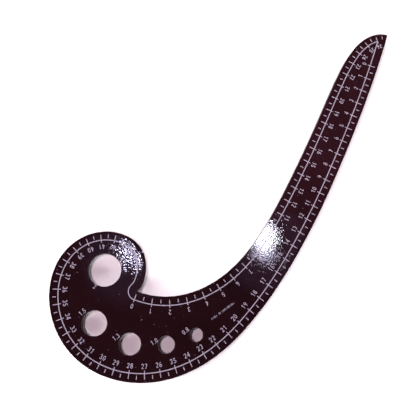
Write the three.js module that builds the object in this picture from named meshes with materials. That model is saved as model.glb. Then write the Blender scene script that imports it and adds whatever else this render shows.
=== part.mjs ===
// A French curve: one flat plastic template, 300 mm long, for drawing curved lines.
//
// The plate lies on the XY plane with its printed face up (+Z). Its long blade points along +X,
// and its round scroll, which curls over into a horn, lies at -X. Five drawing holes go through it.
// A centimetre scale follows each of its two cutting edges.
// All lengths are in millimetres and all angles in degrees.

import * as THREE from 'three';

// ---------------------------------------------------------------- driving dimensions

const PLATE_THICKNESS = 3;
const INK_THICKNESS = 0.1;

// Each cutting edge is a chain of stations. A station is a place on the edge, the heading of the
// edge there, and how far the curve is drawn out along that heading behind and ahead of it.
// The plate's material is always on the right of the direction of travel.
const OUTER_EDGE = [
  { x: 150, y: 5.1, heading: -155, behind: 0, ahead: 48 }, // tip
  { x: 18.1, y: -42.6, heading: -165, behind: 26.5, ahead: 43.5 }, // blade
  { x: -69.3, y: -56.3, heading: -180, behind: 21.5, ahead: 56 }, // lowest
  { x: -150, y: 7.3, heading: -270, behind: 28, ahead: 26.5 }, // leftmost
  { x: -107.3, y: 56.3, heading: -360, behind: 22.5, ahead: 18 }, // top
  { x: -76.2, y: 28.2, heading: -450, behind: 14, ahead: 14.5 }, // horn
  { x: -97.2, y: 6.9, heading: -551, behind: 5.5, ahead: 0 }, // notch
];
const INNER_EDGE = [
  { x: -97.2, y: 6.9, heading: -67, behind: 0, ahead: 24 }, // notch
  { x: -39.2, y: -26.2, heading: 0, behind: 26, ahead: 22 }, // hollow
  { x: 35.8, y: -10.9, heading: 16.5, behind: 28, ahead: 48 }, // blade
  { x: 128.3, y: 15.1, heading: 0, behind: 19.5, ahead: 11.5 }, // crest
  { x: 150, y: 5.1, heading: -62, behind: 6.5, ahead: 0 }, // tip
];

// The drawing holes, which are marked with their size in centimetres.
const HOLES = [
  { diameter: 20, x: -101.6, y: 30.3 },
  { diameter: 15, x: -128.3, y: 12 },
  { diameter: 13, x: -122.2, y: -11.9 },
  { diameter: 10, x: -107.5, y: -28 },
  { diameter: 8, x: -91, y: -37.2 },
];
const HOLE_SIDES = 48;

// The printed scales. A depth is measured from the cutting edge into the plate.
const LINE_DEPTH = 5.25;
const LINE_WIDTH = 0.6;
const TICK_WIDTH = 0.5;
const TICK_START = 1.9;
const TICK_END = 6.8;
const CENTIMETRE = 10;
const OUTER_ZERO = 27.4; // distance of the outer scale's zero from the tip, along the edge
const OUTER_LAST = 42; // last number on the outer scale
const INNER_ZERO = TICK_WIDTH / 2; // the inner scale's zero stands at the notch
const INNER_LAST = 26; // last number on the inner scale
const LINE_OVERRUN = 0.6; // how far a scale's line runs past its last tick
const PRINT_GAP = 0.3; // gap between two printed lines that would otherwise join
const MEETING_GAP = 1.2; // the same where two lines meet at a slant, near the tip

// How finely curves are stepped.
const EDGE_STEP = 2.5;
const NOTCH_TURN_STEP = THREE.MathUtils.degToRad(12);
const MEETING_STEP = 0.05;
const MEETING_POINTS = 400;

// ---------------------------------------------------------------- cutting edges

function pointAhead(station, distance) {
  const heading = THREE.MathUtils.degToRad(station.heading);
  return new THREE.Vector2(
    station.x + distance * Math.cos(heading),
    station.y + distance * Math.sin(heading),
  );
}

function smoothEdge(stations) {
  const edge = new THREE.CurvePath();
  for (let i = 1; i < stations.length; i += 1) {
    const from = stations[i - 1];
    const to = stations[i];
    edge.add(new THREE.CubicBezierCurve(
      pointAhead(from, 0),
      pointAhead(from, from.ahead),
      pointAhead(to, -to.behind),
      pointAhead(to, 0),
    ));
  }
  return edge;
}

// The points of an edge, stations included, without its last point.
function edgeOutline(edge) {
  const points = [];
  for (const curve of edge.curves) {
    const steps = Math.ceil(curve.getLength() / EDGE_STEP);
    points.push(...curve.getSpacedPoints(steps).slice(0, steps));
  }
  return points;
}

// The point that lies at a distance along an edge and at a depth into the plate.
function pointInside(edge, distance, depth) {
  const fraction = THREE.MathUtils.clamp(distance / edge.getLength(), 0, 1);
  const tangent = edge.getTangent(fraction);
  const inward = new THREE.Vector2(tangent.y, -tangent.x);
  return edge.getPoint(fraction).addScaledVector(inward, depth);
}

const outerEdge = smoothEdge(OUTER_EDGE);
const innerEdge = smoothEdge(INNER_EDGE);

// ---------------------------------------------------------------- template plate

function circleOutline(hole) {
  const points = [];
  for (let i = 0; i < HOLE_SIDES; i += 1) {
    const angle = (2 * Math.PI * i) / HOLE_SIDES;
    const x = hole.x + (hole.diameter / 2) * Math.cos(angle);
    const y = hole.y + (hole.diameter / 2) * Math.sin(angle);
    points.push(new THREE.Vector2(x, y));
  }
  return points;
}

function templatePlate() {
  const shape = new THREE.Shape([...edgeOutline(outerEdge), ...edgeOutline(innerEdge)]);
  for (const hole of HOLES) {
    shape.holes.push(new THREE.Path(circleOutline(hole)));
  }
  return new THREE.ExtrudeGeometry(shape, { depth: PLATE_THICKNESS, bevelEnabled: false });
}

// ---------------------------------------------------------------- printed scales

function inkedShape(points) {
  const options = { depth: INK_THICKNESS, bevelEnabled: false };
  return new THREE.ExtrudeGeometry(new THREE.Shape(points), options);
}

// One side of a printed line, from one distance to another, with a tooth for each tick on it.
function lineSide(edge, from, to, depth, ticks, toothDepth) {
  const stops = [];
  const steps = Math.ceil((to - from) / EDGE_STEP);
  for (let i = 0; i <= steps; i += 1) {
    const distance = from + ((to - from) * i) / steps;
    const onTick = ticks.some((tick) => Math.abs(tick - distance) <= TICK_WIDTH);
    if (!onTick) {
      stops.push({ distance, points: [pointInside(edge, distance, depth)] });
    }
  }
  for (const tick of ticks) {
    const before = tick - TICK_WIDTH / 2;
    const after = tick + TICK_WIDTH / 2;
    const tooth = [
      pointInside(edge, before, depth),
      pointInside(edge, before, toothDepth),
      pointInside(edge, after, toothDepth),
      pointInside(edge, after, depth),
    ];
    stops.push({ distance: tick, points: tooth });
  }
  stops.sort((a, b) => a.distance - b.distance);
  return stops.flatMap((stop) => stop.points);
}

// The printed line beside an edge, as one comb-shaped piece of ink with a tooth for each tick.
function scaleLine(edge, from, to, nearTicks, farTicks) {
  const near = lineSide(edge, from, to, LINE_DEPTH - LINE_WIDTH / 2, nearTicks, TICK_START);
  const far = lineSide(edge, from, to, LINE_DEPTH + LINE_WIDTH / 2, farTicks, TICK_END);
  return inkedShape([...near, ...far.reverse()]);
}

function tickDistances(zero, last) {
  return Array.from({ length: last + 1 }, (_, number) => zero + number * CENTIMETRE);
}

// Near the tip the two printed lines run into each other. This is how far along the outer edge
// its line first lies deeper inside the inner edge than the inner edge's own line.
function meetingDistance() {
  const innerPoints = innerEdge.curves.flatMap((curve) => curve.getSpacedPoints(MEETING_POINTS));
  let distance = 0;
  let nearest = 0;
  while (nearest < LINE_DEPTH) {
    distance += MEETING_STEP;
    const point = pointInside(outerEdge, distance, LINE_DEPTH);
    nearest = Math.min(...innerPoints.map((innerPoint) => point.distanceTo(innerPoint)));
  }
  return distance;
}

// The outer line stops short of the inner one, so that the two stay separate pieces of ink.
function outerScale() {
  const from = meetingDistance() + MEETING_GAP;
  const ticks = tickDistances(OUTER_ZERO, OUTER_LAST);
  const to = ticks[OUTER_LAST] + LINE_OVERRUN;
  return scaleLine(outerEdge, from, to, ticks, ticks);
}

// The last inner tick falls where the lines meet, so it stands only on the side of the edge.
function innerScale() {
  const ticks = tickDistances(INNER_ZERO, INNER_LAST);
  const to = ticks[INNER_LAST] + LINE_OVERRUN;
  return scaleLine(innerEdge, 0, to, ticks, ticks.slice(0, INNER_LAST));
}

// The plain line that joins the two scales along the horn and turns round the notch.
function hornLineSide(from, depth) {
  const length = outerEdge.getLength();
  const points = lineSide(outerEdge, from, length, depth, [], depth);
  const notch = outerEdge.getPoint(1);
  const first = pointInside(outerEdge, length, 1).sub(notch).angle();
  const last = pointInside(innerEdge, 0, 1).sub(notch).angle();
  const end = last - PRINT_GAP / LINE_DEPTH;
  const steps = Math.ceil((end - first) / NOTCH_TURN_STEP);
  for (let i = 1; i <= steps; i += 1) {
    const angle = first + ((end - first) * i) / steps;
    points.push(new THREE.Vector2(Math.cos(angle), Math.sin(angle)).multiplyScalar(depth).add(notch));
  }
  return points;
}

function hornLine() {
  const from = OUTER_ZERO + OUTER_LAST * CENTIMETRE + LINE_OVERRUN + PRINT_GAP;
  const near = hornLineSide(from, LINE_DEPTH - LINE_WIDTH / 2);
  const far = hornLineSide(from, LINE_DEPTH + LINE_WIDTH / 2);
  return inkedShape([...near, ...far.reverse()]);
}

// ---------------------------------------------------------------- assembly

function plasticMaterial() {
  return new THREE.MeshStandardMaterial({ color: 0x2a1217, roughness: 0.2, metalness: 0 });
}

function inkMaterial() {
  return new THREE.MeshStandardMaterial({ color: 0xd8d2e2, roughness: 0.55, metalness: 0 });
}

function pieceNamed(name, geometry, material, height) {
  const piece = new THREE.Mesh(geometry, material);
  piece.name = name;
  piece.position.z = height;
  return piece;
}

const frenchCurve = new THREE.Group();
frenchCurve.add(
  pieceNamed('template_plate', templatePlate(), plasticMaterial(), 0),
  pieceNamed('outer_scale', outerScale(), inkMaterial(), PLATE_THICKNESS),
  pieceNamed('inner_scale', innerScale(), inkMaterial(), PLATE_THICKNESS),
  pieceNamed('horn_line', hornLine(), inkMaterial(), PLATE_THICKNESS),
);

export default frenchCurve;
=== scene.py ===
import bisect
import math

import bmesh
import bpy
from mathutils import Matrix, Vector, noise
from mathutils.geometry import delaunay_2d_cdt
from mathutils.kdtree import KDTree


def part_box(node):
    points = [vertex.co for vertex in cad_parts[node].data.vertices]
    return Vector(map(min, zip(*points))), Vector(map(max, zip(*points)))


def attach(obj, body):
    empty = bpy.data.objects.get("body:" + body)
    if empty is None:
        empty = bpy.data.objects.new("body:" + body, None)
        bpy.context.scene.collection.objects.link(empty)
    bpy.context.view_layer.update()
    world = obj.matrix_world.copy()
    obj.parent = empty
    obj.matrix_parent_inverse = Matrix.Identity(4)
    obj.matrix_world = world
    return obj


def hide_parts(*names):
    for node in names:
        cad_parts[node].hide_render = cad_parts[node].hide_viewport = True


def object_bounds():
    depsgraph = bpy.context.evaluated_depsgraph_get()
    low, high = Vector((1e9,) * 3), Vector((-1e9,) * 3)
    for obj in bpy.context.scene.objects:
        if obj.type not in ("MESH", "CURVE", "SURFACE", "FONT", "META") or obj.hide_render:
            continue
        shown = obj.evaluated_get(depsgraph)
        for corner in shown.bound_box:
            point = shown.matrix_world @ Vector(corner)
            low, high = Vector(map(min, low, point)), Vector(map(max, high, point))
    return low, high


# A French curve: one dark maroon plastic sheet with rounded arrises, and white print on its face.
# Everything is worked out from the CAD plate's own outline and holes. The row frame is in metres;
# the outline work below is done in millimetres and scaled by MM when a mesh is made.

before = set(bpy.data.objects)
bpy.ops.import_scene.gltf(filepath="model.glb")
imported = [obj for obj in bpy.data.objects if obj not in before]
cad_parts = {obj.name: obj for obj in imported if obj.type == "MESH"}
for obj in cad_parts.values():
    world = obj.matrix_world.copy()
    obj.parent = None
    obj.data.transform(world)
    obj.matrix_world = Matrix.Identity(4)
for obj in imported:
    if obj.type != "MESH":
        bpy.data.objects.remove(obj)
cad_low, cad_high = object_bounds()

MM = 0.001
PLATE = "template_plate"
PRINTED_NODES = ("outer_scale", "inner_scale", "horn_line")

# ------------------------------------------------------------------ driving dimensions, in mm

# plate
TOP_ARRIS = 0.28
TOP_ARRIS_STEPS = 6
BOTTOM_ARRIS = 0.25
BOTTOM_ARRIS_STEPS = 3
WALL_STEPS = 5
HOLDING_STRIP = 0.12  # a narrow flat strip that keeps the arris rounding out of the face
CORNER_REACH = 0.8  # how far from the tip and the notch their rounding starts
CORNER_STEPS = 6
OUTLINE_STEP = 0.8  # between neighbouring points of the outline
HOLE_SIDES = 120
INNER_GRID = 6.0  # between the points of the face away from its edge
GRID_MARGIN = 5.0  # how far those points stay from the edge
HOLE_MARGIN = 1.0  # how far the face's inner points stay from the holes

# How far the cut walls lie inside the CAD outline. Below zero they lie outside it: against the
# overexposed floor the sheet looks narrower than it is, and the outline makes up for that.
OUTLINE_SETBACK = -0.17
HOLE_SETBACK = 0.03

# unevenness of the cut walls: a long wave and a short one, with their height and their lengths
# along the edge and up the wall
WALL_WAVES = ((0.02, 9.0, 6.0), (0.008, 1.3, 1.5))

# a low bead runs round the face just inside the edge, as on a hand-finished sheet
BEAD_START = 0.35
BEAD_END = 4.2
BEAD_HEIGHT = 0.035
BEAD_FADE = 8.0  # over this length it dies away towards the tip and the notch
BEAD_SWELL_LENGTH = 11.0
BEAD_RIPPLE_LENGTH = 2.6
BEAD_RINGS = (0.75, 1.15, 1.6, 2.05, 2.5, 2.95, 3.5, 4.2)  # depths of the points that carry it

# the whole sheet waves slightly
SHEET_WAVE = 0.012
SHEET_WAVE_LENGTH = 24.0

# the horn's edge is worn over a stretch of the outer edge, with a burr standing out of it;
# places are distances along that edge from the tip
WEAR_START = 451.0
WEAR_END = 481.0
WEAR_REACH = 2.7
WEAR_DROOP = 0.10
LIP_HEIGHT = 0.04
LIP_WIDTH = 0.7
LIP_RIPPLE_LENGTH = 1.9
BURR_PLACE = 468.0
BURR_HALF_LENGTH = 1.4
BURR_HEIGHT = 0.35

# print
INK_HEIGHT = 0.05
INK_FOOT = 0.02  # how deep the ink is bedded into the face
LINE_DEPTH = 5.25
LINE_WIDTH = 0.6
LINE_STEPS = 440  # along the outer edge, and half as many along the inner one
TURN_STEPS = 14  # where the line turns round the notch
LINE_SEARCH = 25.0  # the two edges' lines meet within this distance of the tip
SEARCH_HALVINGS = 40
TICK_WIDTH = 0.5
TICK_PIECES = 6
LONG_TICK = (1.9, 6.8)  # depths of its two ends
SHORT_TICK = (1.85, 4.0)
CENTIMETRE = 10.0
OUTER_ZERO = 27.4  # where the outer scale starts, from the tip
OUTER_LAST = 42
INNER_ZERO = 0.25  # where the inner scale starts, from the notch
INNER_LAST = 26
NUMBER_HEIGHT = 2.95
LABEL_HEIGHT = 2.8
NUMBER_FOOT = 7.85  # depth of the side of a number that is nearest to the edge
STROKE = 0.14  # stroke width as a share of the letter height
BOW_STEPS = 20
LETTER_CELL = 0.56  # width of a letter as drawn below, as a share of its height
LETTER_WIDTH = 0.95  # how far the letters below are squeezed across
ADVANCE = 0.69  # distance between letters as a share of their height
POINT_ADVANCE = 0.3  # the same for a decimal point

# hole labels: text, centre, reading direction in degrees
HOLE_LABELS = (
    ("2", (-112.8, 27.5), -75.8),
    ("1.5", (-128.6, 22.0), -4.8),
    ("1.3", (-125.0, -3.1), -11.8),
    ("1.0", (-111.2, -21.5), -14.2),
    ("0.8", (-93.8, -30.8), -7.4),
)
UNIT_WORD = ("SIZES IN CENTIMETRES", (-69.5, -39.3), -11.5)
UNIT_HEIGHT = 1.25


# ------------------------------------------------------------------ the CAD plate's outline

def loop_length(points):
    """The length of a closed loop."""
    return sum((b - a).length for a, b in zip(points, [*points[1:], points[0]]))


def face_loops(node):
    """The closed loops round the node's upper face, in mm, the longest first."""
    mesh = bmesh.new()
    mesh.from_mesh(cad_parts[node].data)
    mesh.transform(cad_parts[node].matrix_world)
    bmesh.ops.remove_doubles(mesh, verts=mesh.verts, dist=0.001 * MM)
    mesh.normal_update()
    upper = [face for face in mesh.faces if face.normal.z > 0.9]
    on_top = set(upper)
    following = {}
    for face in upper:  # the list and not the set, whose order changes from run to run
        for loop in face.loops:
            if sum(other in on_top for other in loop.edge.link_faces) == 1:
                following[loop.vert] = loop.link_loop_next.vert
    loops = []
    while following:
        start = next(iter(following))
        loop = []
        vert = start
        while vert in following:
            loop.append(Vector(vert.co.xy) / MM)
            vert = following.pop(vert)
        loops.append(loop)
    mesh.free()
    return sorted(loops, key=loop_length, reverse=True)


def corner_turn(points, index):
    """How sharply a closed loop turns at one of its points, in radians."""
    before = points[index] - points[index - 1]
    after = points[(index + 1) % len(points)] - points[index]
    return abs(before.angle_signed(after))


def between(points, start, end):
    """The points of a closed loop from one index to another, both included."""
    count = (end - start) % len(points)
    return [points[(start + step) % len(points)] for step in range(count + 1)]


def smooth_line(points, pieces=8):
    """A Catmull-Rom curve through the points, as a fine polyline."""
    first = points[0] * 2 - points[1]
    last = points[-1] * 2 - points[-2]
    padded = [first, *points, last]
    line = []
    for a, b, c, d in zip(padded, padded[1:], padded[2:], padded[3:]):
        for piece in range(pieces):
            t = piece / pieces
            line.append(0.5 * (2 * b + (c - a) * t + (2 * a - 5 * b + 4 * c - d) * t ** 2
                               + (3 * b - a - 3 * c + d) * t ** 3))
    return [*line, points[-1]]


class CuttingEdge:
    """One smooth edge of the plate, followed by its length. The material is on its right."""

    def __init__(self, corners):
        self.points = smooth_line(corners)
        self.lengths = [0.0]
        for a, b in zip(self.points, self.points[1:]):
            self.lengths.append(self.lengths[-1] + (b - a).length)
        self.length = self.lengths[-1]
        ahead = [*self.points[1:], self.points[-1]]
        behind = [self.points[0], *self.points[:-1]]
        self.tangents = [(a - b).normalized() for a, b in zip(ahead, behind)]

    def place(self, distance, depth=0.0):
        """The point at a distance along the edge and a depth into the plate."""
        distance = min(max(distance, 0.0), self.length)
        i = min(bisect.bisect_right(self.lengths, distance), len(self.lengths) - 1)
        span = self.lengths[i] - self.lengths[i - 1]
        share = (distance - self.lengths[i - 1]) / span
        tangent = self.tangents[i - 1].lerp(self.tangents[i], share).normalized()
        point = self.points[i - 1].lerp(self.points[i], share)
        return point + Vector((tangent.y, -tangent.x)) * depth


plate_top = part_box(PLATE)[1].z / MM
plate_loops = face_loops(PLATE)
outline = plate_loops[0][::-1]
hole_loops = plate_loops[1:]
tip = max(range(len(outline)), key=lambda i: outline[i].x)
notch = max((i for i in range(len(outline)) if i != tip), key=lambda i: corner_turn(outline, i))
outer_edge = CuttingEdge(between(outline, tip, notch))
inner_edge = CuttingEdge(between(outline, notch, tip))

# every point of both edges, to find how deep in the plate a point lies, and how far along
edge_tree = KDTree(len(outer_edge.points) + len(inner_edge.points))
for edge_index, edge_point in enumerate([*outer_edge.points, *inner_edge.points]):
    edge_tree.insert(edge_point.to_3d(), edge_index)
edge_tree.balance()
edge_distances = [*outer_edge.lengths, *(outer_edge.length + d for d in inner_edge.lengths)]


def bead_height(depth, along):
    """The height of the edge bead, which comes and goes along the edge."""
    if not BEAD_START < depth < BEAD_END:
        return 0.0
    profile = math.sin(math.pi * (depth - BEAD_START) / (BEAD_END - BEAD_START)) ** 2
    to_corner = min(along, abs(along - outer_edge.length),
                    outer_edge.length + inner_edge.length - along)
    fade = min(to_corner / BEAD_FADE, 1.0)
    swell = 0.6 + 0.5 * noise.noise(Vector((along / BEAD_SWELL_LENGTH, 0.3, 0.7)))
    ripple = 0.25 * noise.noise(Vector((along / BEAD_RIPPLE_LENGTH, 4.1, 1.9)))
    return BEAD_HEIGHT * profile * fade * (swell + ripple)


def horn_wear(depth, along):
    """The worn edge of the horn: the face droops to the edge inside a low lip."""
    share = (along - WEAR_START) / (WEAR_END - WEAR_START)
    if not 0 < share < 1:
        return 0.0
    reach = WEAR_REACH * math.sin(math.pi * share)
    droop = -WEAR_DROOP * max(1 - depth / reach, 0) ** 2 * math.sin(math.pi * share)
    ripple = 1 + noise.noise(Vector((along / LIP_RIPPLE_LENGTH, 2.2, 0.6)))
    lip = LIP_HEIGHT * ripple * math.exp(-((depth - reach) / LIP_WIDTH) ** 2)
    return droop + lip * math.sin(math.pi * share)


def face_height(point):
    """The height of the plate's face above the floor at a point, in mm."""
    _, index, depth = edge_tree.find(point.to_3d())
    along = edge_distances[index]
    wave_place = Vector((point.x / SHEET_WAVE_LENGTH, point.y / SHEET_WAVE_LENGTH, 2.5))
    wave = SHEET_WAVE * noise.noise(wave_place)
    return plate_top + wave + bead_height(depth, along) + horn_wear(depth, along)


# ------------------------------------------------------------------ flat work

def signed_area(polygon):
    """A polygon's area, which is positive when its points run anticlockwise."""
    return sum(a.x * b.y - b.x * a.y for a, b in zip(polygon, [*polygon[1:], polygon[0]])) / 2


def planar_union(polygons, holes=(), loose=()):
    """Triangles that cover the polygons once and leave the holes out: (points, triangles).

    The loose points become corners of the triangles too.
    """
    points = list(loose)
    faces = []
    for polygon in [*polygons, *holes]:
        faces.append(list(range(len(points), len(points) + len(polygon))))
        points.extend(polygon if signed_area(polygon) > 0 else polygon[::-1])
    out_points, _, triangles, _, _, sources = delaunay_2d_cdt(points, [], faces, 1, 1e-5)
    kept = []
    for triangle, source in zip(triangles, sources):
        covered = any(index < len(polygons) for index in source)
        cut = any(index >= len(polygons) for index in source)
        if covered and not cut:
            kept.append(tuple(triangle))
    return out_points, kept


def make_object(name, vertices, faces, materials, face_slots=None):
    """A smooth-shaded mesh object from vertices in mm."""
    mesh = bmesh.new()
    verts = [mesh.verts.new(Vector(vertex) * MM) for vertex in vertices]
    for index, face in enumerate(faces):
        made = mesh.faces.new([verts[i] for i in face])
        made.material_index = face_slots[index] if face_slots else 0
    bmesh.ops.remove_doubles(mesh, verts=mesh.verts, dist=0.0005 * MM)
    loose = [vert for vert in mesh.verts if not vert.link_faces]
    bmesh.ops.delete(mesh, geom=loose, context="VERTS")
    bmesh.ops.recalc_face_normals(mesh, faces=mesh.faces)
    for face in mesh.faces:
        face.smooth = True
    data = bpy.data.meshes.new(name)
    mesh.to_mesh(data)
    mesh.free()
    for material in materials:
        data.materials.append(material)
    piece = bpy.data.objects.new(name, data)
    bpy.context.scene.collection.objects.link(piece)
    return piece


def ink_piece(name, sheets, material):
    """A thin closed layer of ink for each flat sheet, following the face of the plate."""
    vertices = []
    faces = []
    for points, triangles in sheets:
        start = len(vertices)
        count = len(points)
        heights = [face_height(point) for point in points]
        vertices += [(p.x, p.y, h + INK_HEIGHT) for p, h in zip(points, heights)]
        vertices += [(p.x, p.y, h - INK_FOOT) for p, h in zip(points, heights)]
        sides = set()
        for a, b, c in triangles:
            faces.append((start + a, start + b, start + c))
            faces.append((start + count + c, start + count + b, start + count + a))
            sides.update(((a, b), (b, c), (c, a)))
        for a, b in sides:
            if (b, a) not in sides:
                faces.append((start + b, start + a, start + count + a, start + count + b))
    piece = make_object(name, vertices, faces, [material])
    for polygon in piece.data.polygons:
        polygon.use_smooth = False
    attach(piece, "root")
    return piece


# ------------------------------------------------------------------ lettering

def bar(x0, y0, x1, y1):
    """A straight stroke, as a polygon in letter heights."""
    along = Vector((x1 - x0, y1 - y0)).normalized() * STROKE / 2
    across = Vector((-along.y, along.x))
    a, b = Vector((x0, y0)), Vector((x1, y1))
    return [a - across, b - across, b + across, a + across]


def bow(cx, cy, rx, ry, start, end):
    """A curved stroke along an ellipse, from one angle to another in degrees."""
    near = []
    far = []
    for step in range(BOW_STEPS + 1):
        angle = math.radians(start + (end - start) * step / BOW_STEPS)
        point = Vector((cx + rx * math.cos(angle), cy + ry * math.sin(angle)))
        outward = Vector((ry * math.cos(angle), rx * math.sin(angle))).normalized() * STROKE / 2
        near.append(point - outward)
        far.append(point + outward)
    return [*near, *far[::-1]]


def ring(cx, cy, rx, ry):
    """A closed oval, as two strokes."""
    return [bow(cx, cy, rx, ry, 0, 180), bow(cx, cy, rx, ry, 180, 360)]


SIX = [*ring(0.285, 0.285, 0.205, 0.21), bow(0.36, 0.3, 0.28, 0.625, 88, 182)]
LETTERS = {
    "0": ring(0.28, 0.5, 0.205, 0.425),
    "1": [bar(0.33, 0.0, 0.33, 1.0), bar(0.35, 0.93, 0.12, 0.72)],
    "2": [bow(0.28, 0.71, 0.2, 0.215, 170, -32), bar(0.46, 0.62, 0.09, 0.06),
          bar(0.04, 0.075, 0.5, 0.075)],
    "3": [bow(0.265, 0.72, 0.175, 0.205, 160, -90), bow(0.265, 0.29, 0.205, 0.215, 90, -160)],
    "4": [bar(0.37, 0.0, 0.37, 1.0), bar(0.36, 0.96, 0.06, 0.29), bar(0.02, 0.29, 0.53, 0.29)],
    "5": [bar(0.47, 0.925, 0.12, 0.925), bar(0.155, 0.98, 0.1, 0.44),
          bow(0.265, 0.31, 0.215, 0.235, 145, -155)],
    "6": SIX,
    "7": [bar(0.04, 0.925, 0.5, 0.925), bar(0.46, 0.93, 0.21, 0.0)],
    "8": [*ring(0.28, 0.72, 0.175, 0.205), *ring(0.28, 0.285, 0.205, 0.21)],
    "9": [[Vector((0.56 - p.x, 1.0 - p.y)) for p in stroke] for stroke in SIX],
    ".": [bar(0.1, 0.0, 0.1, 0.16)],
    "C": [bow(0.33, 0.5, 0.25, 0.425, 48, 312)],
    "E": [bar(0.14, 0, 0.14, 1), bar(0.14, 0.925, 0.5, 0.925), bar(0.14, 0.52, 0.47, 0.52),
          bar(0.14, 0.075, 0.5, 0.075)],
    "N": [bar(0.12, 0, 0.12, 1), bar(0.12, 0.94, 0.5, 0.06), bar(0.5, 0, 0.5, 1)],
    "T": [bar(0.02, 0.925, 0.56, 0.925), bar(0.29, 0, 0.29, 0.93)],
    "I": [bar(0.29, 0, 0.29, 1)],
    "M": [bar(0.1, 0, 0.1, 1), bar(0.11, 0.94, 0.31, 0.3), bar(0.31, 0.3, 0.51, 0.94),
          bar(0.52, 0, 0.52, 1)],
    "Z": [bar(0.04, 0.925, 0.52, 0.925), bar(0.49, 0.93, 0.07, 0.07), bar(0.04, 0.075, 0.54, 0.075)],
    "R": [bar(0.12, 0, 0.12, 1), bar(0.12, 0.925, 0.32, 0.925), bar(0.12, 0.49, 0.32, 0.49),
          bow(0.31, 0.7075, 0.17, 0.2175, 90, -90), bar(0.3, 0.49, 0.49, 0)],
    "S": [bow(0.28, 0.71, 0.19, 0.215, 40, 270), bow(0.28, 0.285, 0.2, 0.21, 90, -140)],
}
letter_sheets = {letter: planar_union(strokes) for letter, strokes in LETTERS.items()}


def letter_advance(letter):
    """How far the pen moves on after a letter, as a share of the letters' height."""
    return POINT_ADVANCE if letter == "." else ADVANCE


def lettering(text, centre, direction, height):
    """Sheets for a line of text, centred on a point and read along a direction in degrees."""
    last_gap = ADVANCE - LETTER_CELL * LETTER_WIDTH
    width = sum(letter_advance(letter) for letter in text) - last_gap
    turn = Matrix.Rotation(math.radians(direction), 2)
    pen = -width / 2
    sheets = []
    for letter in text:
        points, triangles = letter_sheets.get(letter, ((), ()))  # a space has none
        placed = []
        for x, y in points:
            placed.append(centre + turn @ (Vector((pen + x * LETTER_WIDTH, y - 0.5)) * height))
        sheets.append((placed, triangles))
        pen += letter_advance(letter)
    return sheets


# ------------------------------------------------------------------ printed scales

def tick(edge, distance, depths):
    """One tick, cut into short lengths so that it follows the bead."""
    start, end = depths
    rows = []
    for piece in range(TICK_PIECES + 1):
        depth = start + (end - start) * piece / TICK_PIECES
        middle = edge.place(distance, depth)
        inward = (edge.place(distance, depth + 1) - middle).normalized()
        side = Vector((inward.y, -inward.x)) * TICK_WIDTH / 2
        rows.append((middle - side, middle + side))
    return [[a, b, d, c] for (a, b), (c, d) in zip(rows, rows[1:])]


def line_meeting(depth):
    """Where the lines at this depth from both edges meet, near the tip.

    Returns the meeting point, and its distance along the outer and the inner edge.
    """
    tree = KDTree(len(inner_edge.points))
    for index, point in enumerate(inner_edge.points):
        tree.insert(point.to_3d(), index)
    tree.balance()
    low, high = 0.0, LINE_SEARCH
    for _ in range(SEARCH_HALVINGS):
        middle = (low + high) / 2
        clear = tree.find(outer_edge.place(middle, depth).to_3d())[2]
        low, high = (middle, high) if clear < depth else (low, middle)
    meeting = outer_edge.place(high, depth)
    return meeting, high, inner_edge.lengths[tree.find(meeting.to_3d())[1]]


def inset_loop(depth):
    """The closed line at a depth inside the whole outline, with its sharp corner by the tip."""
    meeting, outer_start, inner_end = line_meeting(depth)
    notch_point = outer_edge.place(outer_edge.length)
    first = outer_edge.place(outer_edge.length, 1) - notch_point
    last = inner_edge.place(0, 1) - notch_point
    turn = last.angle_signed(first)
    loop = [meeting]
    for step in range(1, LINE_STEPS):
        share = step / LINE_STEPS
        loop.append(outer_edge.place(outer_start + (outer_edge.length - outer_start) * share, depth))
    for step in range(TURN_STEPS):
        angle = turn * step / TURN_STEPS
        loop.append(notch_point + Matrix.Rotation(angle, 2) @ first * depth)
    for step in range(LINE_STEPS // 2):
        share = step / (LINE_STEPS // 2)
        loop.append(inner_edge.place(inner_end * share, depth))
    return loop


def border_line():
    """The printed line all round, as quads between its two sides."""
    near = inset_loop(LINE_DEPTH - LINE_WIDTH / 2)
    far = inset_loop(LINE_DEPTH + LINE_WIDTH / 2)
    quads = []
    for i in range(len(near)):
        quads.append([near[i - 1], near[i], far[i], far[i - 1]])
    return quads


def scale_ticks():
    """The long and the short ticks of both scales."""
    long_ticks = []
    short_ticks = []
    # the inner scale goes on for half a centimetre past its last number
    scales = (
        (outer_edge, OUTER_ZERO, OUTER_LAST + 1, OUTER_LAST),
        (inner_edge, INNER_ZERO, INNER_LAST + 1, INNER_LAST + 1),
    )
    for edge, zero, wholes, halves in scales:
        for number in range(wholes):
            long_ticks += tick(edge, zero + number * CENTIMETRE, LONG_TICK)
        for number in range(halves):
            short_ticks.append(tick(edge, zero + (number + 0.5) * CENTIMETRE, SHORT_TICK))
    return long_ticks, short_ticks


def scale_numbers(edge, zero, last):
    """The numbers beside the ticks, with their feet towards the edge."""
    sheets = []
    depth = NUMBER_FOOT + NUMBER_HEIGHT / 2
    for number in range(last + 1):
        distance = zero + number * CENTIMETRE
        centre = edge.place(distance, depth)
        upward = edge.place(distance, depth + 1) - centre
        direction = math.degrees(math.atan2(upward.y, upward.x)) - 90
        sheets += lettering(str(number), centre, direction, NUMBER_HEIGHT)
    return sheets


# ------------------------------------------------------------------ plate

def rounded_corner(before, corner, after):
    """The points of a small curve that takes the place of a sharp corner."""
    points = []
    for step in range(1, CORNER_STEPS):
        t = step / CORNER_STEPS
        points.append(before.lerp(corner, t).lerp(corner.lerp(after, t), t))
    return points


def edge_run(edge):
    """Points along an edge, stopping short of both corners."""
    start, end = CORNER_REACH, edge.length - CORNER_REACH
    steps = round((end - start) / OUTLINE_STEP)
    return [edge.place(start + (end - start) * step / steps) for step in range(steps + 1)]


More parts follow.
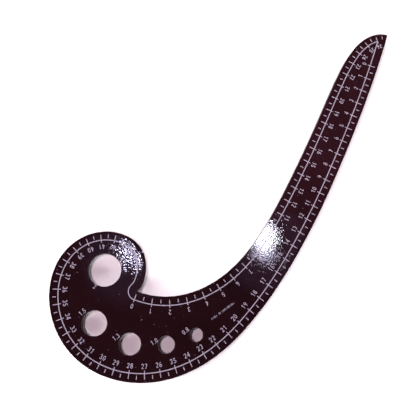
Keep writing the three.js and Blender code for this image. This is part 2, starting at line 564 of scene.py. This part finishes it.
def rounded_outline():
    """The plate's outline, from the tip along the outer edge and back along the inner one."""
    outer = edge_run(outer_edge)
    inner = edge_run(inner_edge)
    at_notch = rounded_corner(outer[-1], outer_edge.place(outer_edge.length), inner[0])
    at_tip = rounded_corner(inner[-1], outer_edge.place(0), outer[0])
    return [*outer, *at_notch, *inner, *at_tip]


def hole_outline(loop):
    """A true circle through the corners of a hole's loop."""
    centre = sum(loop, Vector((0, 0))) / len(loop)
    radius = max((point - centre).length for point in loop)
    points = []
    for side in range(HOLE_SIDES):
        angle = 2 * math.pi * side / HOLE_SIDES
        points.append(centre + radius * Vector((math.cos(angle), math.sin(angle))))
    return points


def into_plate(loop):
    """The direction into the material at each point of a loop that has it on the right."""
    directions = []
    for i in range(len(loop)):
        tangent = (loop[(i + 1) % len(loop)] - loop[i - 1]).normalized()
        directions.append(Vector((tangent.y, -tangent.x)))
    return directions


def edge_profile():
    """The plate's cut edge as (inset, height), from the underside to the face."""
    rows = [(BOTTOM_ARRIS + HOLDING_STRIP, 0.0)]
    for step in range(BOTTOM_ARRIS_STEPS + 1):
        angle = math.radians(90 * (1 - step / BOTTOM_ARRIS_STEPS))
        inset = BOTTOM_ARRIS * (1 - math.cos(angle))
        rows.append((inset, BOTTOM_ARRIS * (1 - math.sin(angle))))
    low, high = BOTTOM_ARRIS, plate_top - TOP_ARRIS
    for step in range(1, WALL_STEPS):
        rows.append((0.0, low + (high - low) * step / WALL_STEPS))
    for step in range(TOP_ARRIS_STEPS + 1):
        angle = math.radians(90 * step / TOP_ARRIS_STEPS)
        rows.append((TOP_ARRIS * (1 - math.cos(angle)), high + TOP_ARRIS * math.sin(angle)))
    rows.append((TOP_ARRIS + HOLDING_STRIP, plate_top))
    return rows


def cut_wobble(loop_index, along, height):
    """The slight unevenness that sawing and polishing leave in a cut wall, in mm."""
    wobble = 0.0
    for wave, (swing, length, rise) in enumerate(WALL_WAVES):
        wobble += swing * noise.noise(Vector((along / length, height / rise, loop_index + wave / 2)))
    if loop_index == 0:
        wobble -= BURR_HEIGHT * math.exp(-((along - BURR_PLACE) / BURR_HALF_LENGTH) ** 2)
    return wobble


def plate_piece(face_material, edge_material):
    """The whole sheet: its rounded cut walls, its underside and its face."""
    outline_points = rounded_outline()
    loops = [outline_points, *(hole_outline(loop) for loop in hole_loops)]
    profile = edge_profile()
    vertices = []
    faces = []
    face_slots = []
    lower_rings = []
    upper_rings = []
    for loop_index, loop in enumerate(loops):
        directions = into_plate(loop)
        setback = HOLE_SETBACK if loop_index else OUTLINE_SETBACK
        start = len(vertices)
        count = len(loop)
        for row, (inset, height) in enumerate(profile):
            on_face = row >= len(profile) - 2
            for i, (point, direction) in enumerate(zip(loop, directions)):
                along = i * OUTLINE_STEP
                moved = point + direction * (inset + setback + cut_wobble(loop_index, along, height))
                raised = height + (face_height(moved) - plate_top if on_face else 0)
                vertices.append((moved.x, moved.y, raised))
        lower_rings.append([Vector(v[:2]) for v in vertices[start:start + count]])
        upper_rings.append([Vector(v[:2]) for v in vertices[-count:]])
        for row in range(len(profile) - 1):
            for i in range(count):
                a, b = start + row * count + i, start + row * count + (i + 1) % count
                faces.append((a, b, b + count, a + count))
                face_slots.append(1 if 1 <= row < len(profile) - 2 else 0)
    lower = planar_union(lower_rings[:1], lower_rings[1:])
    upper = planar_union(upper_rings[:1], upper_rings[1:], face_points(outline_points, loops[1:]))
    for (points, triangles), height in ((lower, None), (upper, face_height)):
        start = len(vertices)
        for point in points:
            vertices.append((point.x, point.y, height(point) if height else 0.0))
        faces += [tuple(start + i for i in triangle) for triangle in triangles]
        face_slots += [0] * len(triangles)
    piece = make_object("template_sheet", vertices, faces, [face_material, edge_material], face_slots)
    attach(piece, "root")
    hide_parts(PLATE)
    return piece


def face_points(outline_points, holes):
    """Points that carry the bead and the sheet's slight wave, inside the face's outline."""
    points = []
    directions = into_plate(outline_points)
    for depth in BEAD_RINGS:
        for point, direction in zip(outline_points, directions):
            moved = point + direction * depth
            if edge_tree.find(moved.to_3d())[2] > depth - 0.02 and clear_of_holes(moved, holes):
                points.append(moved)
    x = cad_low.x / MM
    while x < cad_high.x / MM:
        y = cad_low.y / MM
        while y < cad_high.y / MM:
            point = Vector((x, y))
            if inside_plate(point, outline_points) and clear_of_holes(point, holes):
                points.append(point)
            y += INNER_GRID
        x += INNER_GRID
    return points


def inside_plate(point, loop):
    """Whether a point lies well inside the plate's outline."""
    if edge_tree.find(point.to_3d())[2] < GRID_MARGIN:
        return False
    crossings = 0
    for a, b in zip(loop, [*loop[1:], loop[0]]):
        if (a.y > point.y) != (b.y > point.y):
            crossings += point.x < a.x + (b.x - a.x) * (point.y - a.y) / (b.y - a.y)
    return crossings % 2 == 1


def clear_of_holes(point, holes):
    """Whether a point stays clear of every hole."""
    for loop in holes:
        centre = sum(loop, Vector((0, 0))) / len(loop)
        if (point - centre).length < (loop[0] - centre).length + HOLE_MARGIN:
            return False
    return True


# ------------------------------------------------------------------ materials

# two colours each, which a noise mixes
SCROLL_DYES = ((0.0062, 0.0013, 0.0023), (0.0082, 0.0018, 0.0030))
# the blade's colours are the scroll's with painted light: lighter and redder where more light falls
BLADE_COLOURS_WITH_PAINTED_LIGHT = ((0.0130, 0.0028, 0.0050), (0.0165, 0.0037, 0.0064))
CUT_COLOURS = ((0.010, 0.004, 0.0055), (0.018, 0.008, 0.011))
SCROLL_INKS = ((0.220, 0.170, 0.232), (0.161, 0.123, 0.170))
# the blade's ink colours are the scroll's with painted light: paler where more light falls
BLADE_INKS_WITH_PAINTED_LIGHT = ((0.262, 0.202, 0.264), (0.192, 0.145, 0.195))
FLOOR_COLOURS = ((0.88, 0.77, 0.83), (0.92, 0.81, 0.87))
FELT_COLOURS = ((0.004, 0.004, 0.004), (0.008, 0.008, 0.008))
DUST_COLOUR = (0.10, 0.07, 0.085)

PAINTED_LIGHT_START = -0.05  # x in metres where painted light starts to turn the scroll's colours into the blade's lighter ones
PAINTED_LIGHT_END = 0.05

# sizes of the broader patterns, in mm
CLOUD_SIZE = 35.0
DUST_SIZE = 1.1
SMEAR_SIZE = 14.0
CUT_CLOUD_SIZE = 4.0
MOTTLE_SIZE = 1.6
FIBRE_SIZE = 3.0
NAP_SIZE = 20.0

# how rough the surfaces are, from their smoothest to their roughest places
FACE_ROUGHNESS = (0.015, 0.035)
CUT_ROUGHNESS = (0.40, 0.55)
INK_ROUGHNESS = (0.42, 0.6)
FLOOR_ROUGHNESS = 0.85
PLASTIC_IOR = 1.49
CUT_GLOSS = 0.2
INK_GLOSS = 0.35
FLOOR_GLOSS = 0.2

# sizes and depths of the finest relief, in mm
PEEL_SIZE = 0.8
PEEL_DEPTH = 0.0175
CUT_MARK_SIZE = 0.35
CUT_MARK_DEPTH = 0.015
GRAIN_SIZE = 0.25
GRAIN_DEPTH = 0.006

# the peel is stronger on the horn; place and distances in metres
HORN_MIDDLE = (-0.0870, 0.0290, 0.003)
HORN_PEEL = 2.0  # how much stronger it is there than elsewhere
HORN_PEEL_INSIDE = 0.010
HORN_PEEL_OUTSIDE = 0.020


def new_material(name):
    """A material with its node tree, its shader and the place that its noises are read at."""
    material = bpy.data.materials.new(name)
    material.use_nodes = True
    tree = material.node_tree
    shader = tree.nodes["Principled BSDF"]
    place = tree.nodes.new("ShaderNodeTexCoord").outputs["Object"]
    return material, tree, shader, place


def noise_node(tree, place, size, detail=2.0, roughness=0.5):
    """A noise texture whose features are about size mm across."""
    node = tree.nodes.new("ShaderNodeTexNoise")
    node.inputs["Scale"].default_value = 1 / (size * MM)
    node.inputs["Detail"].default_value = detail
    node.inputs["Roughness"].default_value = roughness
    tree.links.new(place, node.inputs["Vector"])
    return node.outputs["Fac"]


def ramp(tree, value, low, high, from_low, from_high):
    """Maps a value's range from_low..from_high to low..high."""
    node = tree.nodes.new("ShaderNodeMapRange")
    tree.links.new(value, node.inputs["Value"])
    node.inputs["From Min"].default_value = from_low
    node.inputs["From Max"].default_value = from_high
    node.inputs["To Min"].default_value = low
    node.inputs["To Max"].default_value = high
    return node.outputs["Result"]


def toward_blade(tree, place):
    """A share that rises from 0 over the scroll to 1 over the blade, where the colours carry painted
    light.
    """
    split = tree.nodes.new("ShaderNodeSeparateXYZ")
    tree.links.new(place, split.inputs["Vector"])
    return ramp(tree, split.outputs["X"], 0, 1, PAINTED_LIGHT_START, PAINTED_LIGHT_END)


def mix_colour(tree, share, first, second):
    """Mixes two colours, each a tuple or another node's output."""
    node = tree.nodes.new("ShaderNodeMix")
    node.data_type = "RGBA"
    tree.links.new(share, node.inputs["Factor"])
    for socket, colour in ((node.inputs[6], first), (node.inputs[7], second)):
        if isinstance(colour, tuple):
            socket.default_value = (*colour, 1)
        else:
            tree.links.new(colour, socket)
    return node.outputs[2]


def bump(tree, shader, height, depth_mm):
    """Gives a shader's surface a fine relief."""
    node = tree.nodes.new("ShaderNodeBump")
    node.inputs["Strength"].default_value = 1.0
    node.inputs["Distance"].default_value = depth_mm * MM
    tree.links.new(height, node.inputs["Height"])
    tree.links.new(node.outputs["Normal"], shader.inputs["Normal"])


def peel_height(tree, place):
    """The orange peel of the face, which is stronger on the horn."""
    from_horn = tree.nodes.new("ShaderNodeVectorMath")
    from_horn.operation = "DISTANCE"
    from_horn.inputs[1].default_value = HORN_MIDDLE
    tree.links.new(place, from_horn.inputs[0])
    strength = ramp(tree, from_horn.outputs["Value"], HORN_PEEL, 1, HORN_PEEL_INSIDE, HORN_PEEL_OUTSIDE)
    peel = tree.nodes.new("ShaderNodeMath")
    peel.operation = "MULTIPLY"
    tree.links.new(noise_node(tree, place, PEEL_SIZE, detail=0.0), peel.inputs[0])
    tree.links.new(strength, peel.inputs[1])
    return peel.outputs["Value"]


def sheet_material():
    """Glossy maroon plastic, with painted light making it a little lighter and redder towards the
    blade.
    """
    material, tree, shader, place = new_material("maroon_sheet")
    cloud = ramp(tree, noise_node(tree, place, CLOUD_SIZE, detail=3.0), 0, 1, 0.35, 0.65)
    scroll = mix_colour(tree, cloud, *SCROLL_DYES)
    blade = mix_colour(tree, cloud, *BLADE_COLOURS_WITH_PAINTED_LIGHT)
    # painted light: the colour turns lighter and redder over the blade
    base = mix_colour(tree, toward_blade(tree, place), scroll, blade)
    speck = noise_node(tree, place, DUST_SIZE, detail=1.0)
    dust = ramp(tree, speck, 0, 1, 0.76, 0.80)
    colour = mix_colour(tree, dust, base, DUST_COLOUR)
    tree.links.new(colour, shader.inputs["Base Color"])
    smear = noise_node(tree, place, SMEAR_SIZE, detail=4.0, roughness=0.6)
    tree.links.new(ramp(tree, smear, *FACE_ROUGHNESS, 0.3, 0.7), shader.inputs["Roughness"])
    shader.inputs["IOR"].default_value = PLASTIC_IOR
    bump(tree, shader, peel_height(tree, place), PEEL_DEPTH)
    return material


def cut_edge_material():
    """The same plastic where it was sawn and polished: rougher, and finely marked."""
    material, tree, shader, place = new_material("cut_edge")
    cloud = noise_node(tree, place, CUT_CLOUD_SIZE, detail=3.0)
    colour = mix_colour(tree, cloud, *CUT_COLOURS)
    tree.links.new(colour, shader.inputs["Base Color"])
    tree.links.new(ramp(tree, cloud, *CUT_ROUGHNESS, 0.3, 0.7), shader.inputs["Roughness"])
    shader.inputs["Specular IOR Level"].default_value = CUT_GLOSS
    marks = noise_node(tree, place, CUT_MARK_SIZE, detail=2.0)
    bump(tree, shader, marks, CUT_MARK_DEPTH)
    return material


def ink_material():
    """Matte screen-print ink, mottled where it lies thinner, with painted light making it paler towards
    the blade.
    """
    material, tree, shader, place = new_material("white_ink")
    mottle = noise_node(tree, place, MOTTLE_SIZE, detail=3.0)
    thickness = ramp(tree, mottle, 0, 1, 0.35, 0.7)
    scroll = mix_colour(tree, thickness, *SCROLL_INKS)
    blade = mix_colour(tree, thickness, *BLADE_INKS_WITH_PAINTED_LIGHT)
    # painted light: the ink turns paler over the blade
    colour = mix_colour(tree, toward_blade(tree, place), scroll, blade)
    tree.links.new(colour, shader.inputs["Base Color"])
    tree.links.new(ramp(tree, mottle, *INK_ROUGHNESS, 0.3, 0.7), shader.inputs["Roughness"])
    shader.inputs["Specular IOR Level"].default_value = INK_GLOSS
    grain = noise_node(tree, place, GRAIN_SIZE, detail=2.0)
    bump(tree, shader, grain, GRAIN_DEPTH)
    return material


def floor_material():
    """Pale, faintly pink card."""
    material, tree, shader, place = new_material("pale_floor")
    fibre = noise_node(tree, place, FIBRE_SIZE, detail=5.0)
    colour = mix_colour(tree, fibre, *FLOOR_COLOURS)
    tree.links.new(colour, shader.inputs["Base Color"])
    shader.inputs["Roughness"].default_value = FLOOR_ROUGHNESS
    shader.inputs["Specular IOR Level"].default_value = FLOOR_GLOSS
    return material


def flag_material():
    """Black felt without any gloss."""
    material, tree, shader, place = new_material("black_felt")
    nap = noise_node(tree, place, NAP_SIZE, detail=3.0)
    colour = mix_colour(tree, nap, *FELT_COLOURS)
    tree.links.new(colour, shader.inputs["Base Color"])
    shader.inputs["Roughness"].default_value = 1.0
    shader.inputs["Specular IOR Level"].default_value = 0.0
    return material


# ------------------------------------------------------------------ studio

PHOTO_WIDTH = 416
FOCAL_PIXELS = 500
SENSOR_WIDTH = 36.0
CAMERA_PLACE = Vector((-0.0970, -0.0153, 0.3134))
CAMERA_AIM = Vector((-0.0379, 0.0215, 0.003))
CAMERA_ROLL = -46.83
CAMERA_SHIFT = 0.052  # sideways, as a share of the picture's width, fitted to the printed marks
CAMERA_NEAR = 0.01
FACE_Z = 0.003  # height of the plate's face
KEY_PLACE = Vector((-0.42, 0.50, 1.0))
KEY_SIZE = 0.2
KEY_POWER = 7.0
KEY_COLOUR = (1.0, 0.84, 0.91)
LAMP_COLOUR = (0.86, 0.88, 1.0)
GLOW_COLOUR = (0.78, 0.74, 1.0)
HAZE_COLOUR = (0.60, 0.50, 1.0)
SIDE_COLOUR = (0.95, 1.0, 0.98)
# low lamps round the plate that keep the floor white, in the directions where the glossy face
# doesn't mirror them when it is seen from low down
SIDE_AZIMUTHS = (5, 35, 62, 118, 150, 208, 232, 255)
SIDE_DISTANCE = 1.28
SIDE_HEIGHT = 0.17
SIDE_LENGTH = 0.4
SIDE_WIDTH = 0.1
SIDE_POWER = 26
WINDOW_DISTANCE = 2.0  # from glint to lamp, as a multiple of the distance from camera to glint
# small lamps that glint in the face: name, glint x and y, size, power, colour
WINDOW_LAMPS = (
    ("lamp", -0.0180, -0.0257, 0.046, 0.46, LAMP_COLOUR),
    ("lamp_glow", -0.0250, -0.0350, 0.030, 0.040, GLOW_COLOUR),
    ("lamp_haze", -0.0225, -0.0330, 0.16, 0.016, HAZE_COLOUR),
    ("second_lamp", -0.0798, 0.0238, 0.018, 0.24, GLOW_COLOUR),
    ("second_glow", -0.0825, 0.0255, 0.034, 0.026, GLOW_COLOUR),
    ("second_haze", -0.0865, 0.0255, 0.16, 0.016, HAZE_COLOUR),
)
# brightness of the world: at and below the horizon, low down, and above the flag's reach
WORLD_LEVELS = ((0.0, 1.0), (0.09, 1.0), (0.115, 0.62), (0.3, 0.42), (0.5, 0.28), (0.65, 0.12))
WORLD_LOW = -0.1  # heights on the unit sky sphere where those positions are 0 and 1
WORLD_HIGH = 0.9
FLOOR_RADIUS = 0.95
FLOOR_SIDES = 96
FLAG_HEIGHT = 1.2
FLAG_RADIUS = 1.9
FLAG_SIDES = 64


def look_at(place, aim, roll=0.0):
    """A matrix for a camera or lamp that looks at a point, rolled about its view direction."""
    forward = (aim - place).normalized()
    upward = (Vector((0, 1, 0)) - forward * forward.y).normalized()
    right = forward.cross(upward)
    turn = Matrix((right, upward, -forward)).transposed()
    turn = turn @ Matrix.Rotation(math.radians(roll), 3, "Z")
    return Matrix.Translation(place) @ turn.to_4x4()


def add_camera():
    """The camera of the photograph."""
    data = bpy.data.cameras.new("camera")
    data.sensor_width = SENSOR_WIDTH
    data.lens = FOCAL_PIXELS * SENSOR_WIDTH / PHOTO_WIDTH
    data.shift_x = CAMERA_SHIFT
    data.clip_start = CAMERA_NEAR
    camera = bpy.data.objects.new("camera", data)
    camera.matrix_world = look_at(CAMERA_PLACE, CAMERA_AIM, CAMERA_ROLL)
    bpy.context.scene.collection.objects.link(camera)
    bpy.context.scene.camera = camera


def add_lamp(name, place, aim, shape, size, power, colour):
    """An area lamp aimed at a point, with its size as (along, across)."""
    data = bpy.data.lights.new(name, "AREA")
    data.shape = shape
    data.size, data.size_y = size
    data.energy = power
    data.color = colour
    lamp = bpy.data.objects.new(name, data)
    lamp.matrix_world = look_at(place, aim)
    bpy.context.scene.collection.objects.link(lamp)
    return lamp


def mirrored_place(glint, distance):
    """Where a lamp has to hang for the camera to see it mirrored in the face at a point."""
    ray = glint - CAMERA_PLACE
    return glint + Vector((ray.x, ray.y, -ray.z)) * distance


def add_lights():
    """The key lamp, which the glossy face doesn't mirror, the side lamps and the glints."""
    centre = Vector((0, 0, 0))
    key_size = (KEY_SIZE, KEY_SIZE)
    key = add_lamp("key", KEY_PLACE, centre, "SQUARE", key_size, KEY_POWER, KEY_COLOUR)
    key.visible_glossy = False
    side_size = (SIDE_LENGTH, SIDE_WIDTH)
    for azimuth in SIDE_AZIMUTHS:
        turn = Matrix.Rotation(math.radians(azimuth), 3, "Z")
        place = turn @ Vector((SIDE_DISTANCE, 0, SIDE_HEIGHT))
        add_lamp(f"side_{azimuth}", place, centre, "RECTANGLE", side_size, SIDE_POWER, SIDE_COLOUR)
    for name, x, y, size, power, colour in WINDOW_LAMPS:
        glint = Vector((x, y, FACE_Z))
        place = mirrored_place(glint, WINDOW_DISTANCE)
        lamp = add_lamp(name, place, glint, "DISK", (size, size), power, colour)
        lamp.visible_diffuse = False


def add_world():
    """Bright round the horizon, for a pale background, and dim above it."""
    world = bpy.data.worlds.new("studio")
    world.use_nodes = True
    tree = world.node_tree
    background = tree.nodes["Background"]
    direction = tree.nodes.new("ShaderNodeTexCoord").outputs["Generated"]
    split = tree.nodes.new("ShaderNodeSeparateXYZ")
    tree.links.new(direction, split.inputs["Vector"])
    levels = tree.nodes.new("ShaderNodeValToRGB")
    position = ramp(tree, split.outputs["Z"], 0, 1, WORLD_LOW, WORLD_HIGH)
    tree.links.new(position, levels.inputs["Fac"])
    stops = levels.color_ramp.elements
    while len(stops) < len(WORLD_LEVELS):
        stops.new(0.5)
    for stop, (stop_position, level) in zip(stops, WORLD_LEVELS):
        stop.position = stop_position
        stop.color = (level, level, level, 1)
    tree.links.new(levels.outputs["Color"], background.inputs["Color"])
    bpy.context.scene.world = world
    bpy.context.scene.view_settings.view_transform = "Standard"


def add_disc(name, radius, height, sides, material):
    """A flat disc of the studio, which isn't part of the object."""
    mesh = bmesh.new()
    bmesh.ops.create_circle(mesh, cap_ends=True, segments=sides, radius=radius)
    data = bpy.data.meshes.new(name)
    mesh.to_mesh(data)
    mesh.free()
    data.materials.append(material)
    disc = bpy.data.objects.new(name, data)
    disc.location.z = height
    bpy.context.scene.collection.objects.link(disc)


# ------------------------------------------------------------------ assembly

def add_print(ink):
    """Everything that is printed on the face."""
    long_ticks, short_ticks = scale_ticks()
    line = ink_piece("border_line", [planar_union([*border_line(), *long_ticks])], ink)
    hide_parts(*PRINTED_NODES)
    ink_piece("half_ticks", [planar_union(quads) for quads in short_ticks], ink)
    ink_piece("outer_numbers", scale_numbers(outer_edge, OUTER_ZERO, OUTER_LAST), ink)
    ink_piece("inner_numbers", scale_numbers(inner_edge, INNER_ZERO, INNER_LAST), ink)
    labels = []
    for text, centre, direction in HOLE_LABELS:
        labels += lettering(text, Vector(centre), direction, LABEL_HEIGHT)
    ink_piece("hole_sizes", labels, ink)
    word, centre, direction = UNIT_WORD
    ink_piece("unit_word", lettering(word, Vector(centre), direction, UNIT_HEIGHT), ink)


add_camera()
plate_piece(sheet_material(), cut_edge_material())
add_print(ink_material())
add_disc("floor", FLOOR_RADIUS, 0.0, FLOOR_SIDES, floor_material())
# the flag keeps the overhead light off the plate's glossy face
add_disc("flag", FLAG_RADIUS, FLAG_HEIGHT, FLAG_SIDES, flag_material())
add_lights()
add_world()
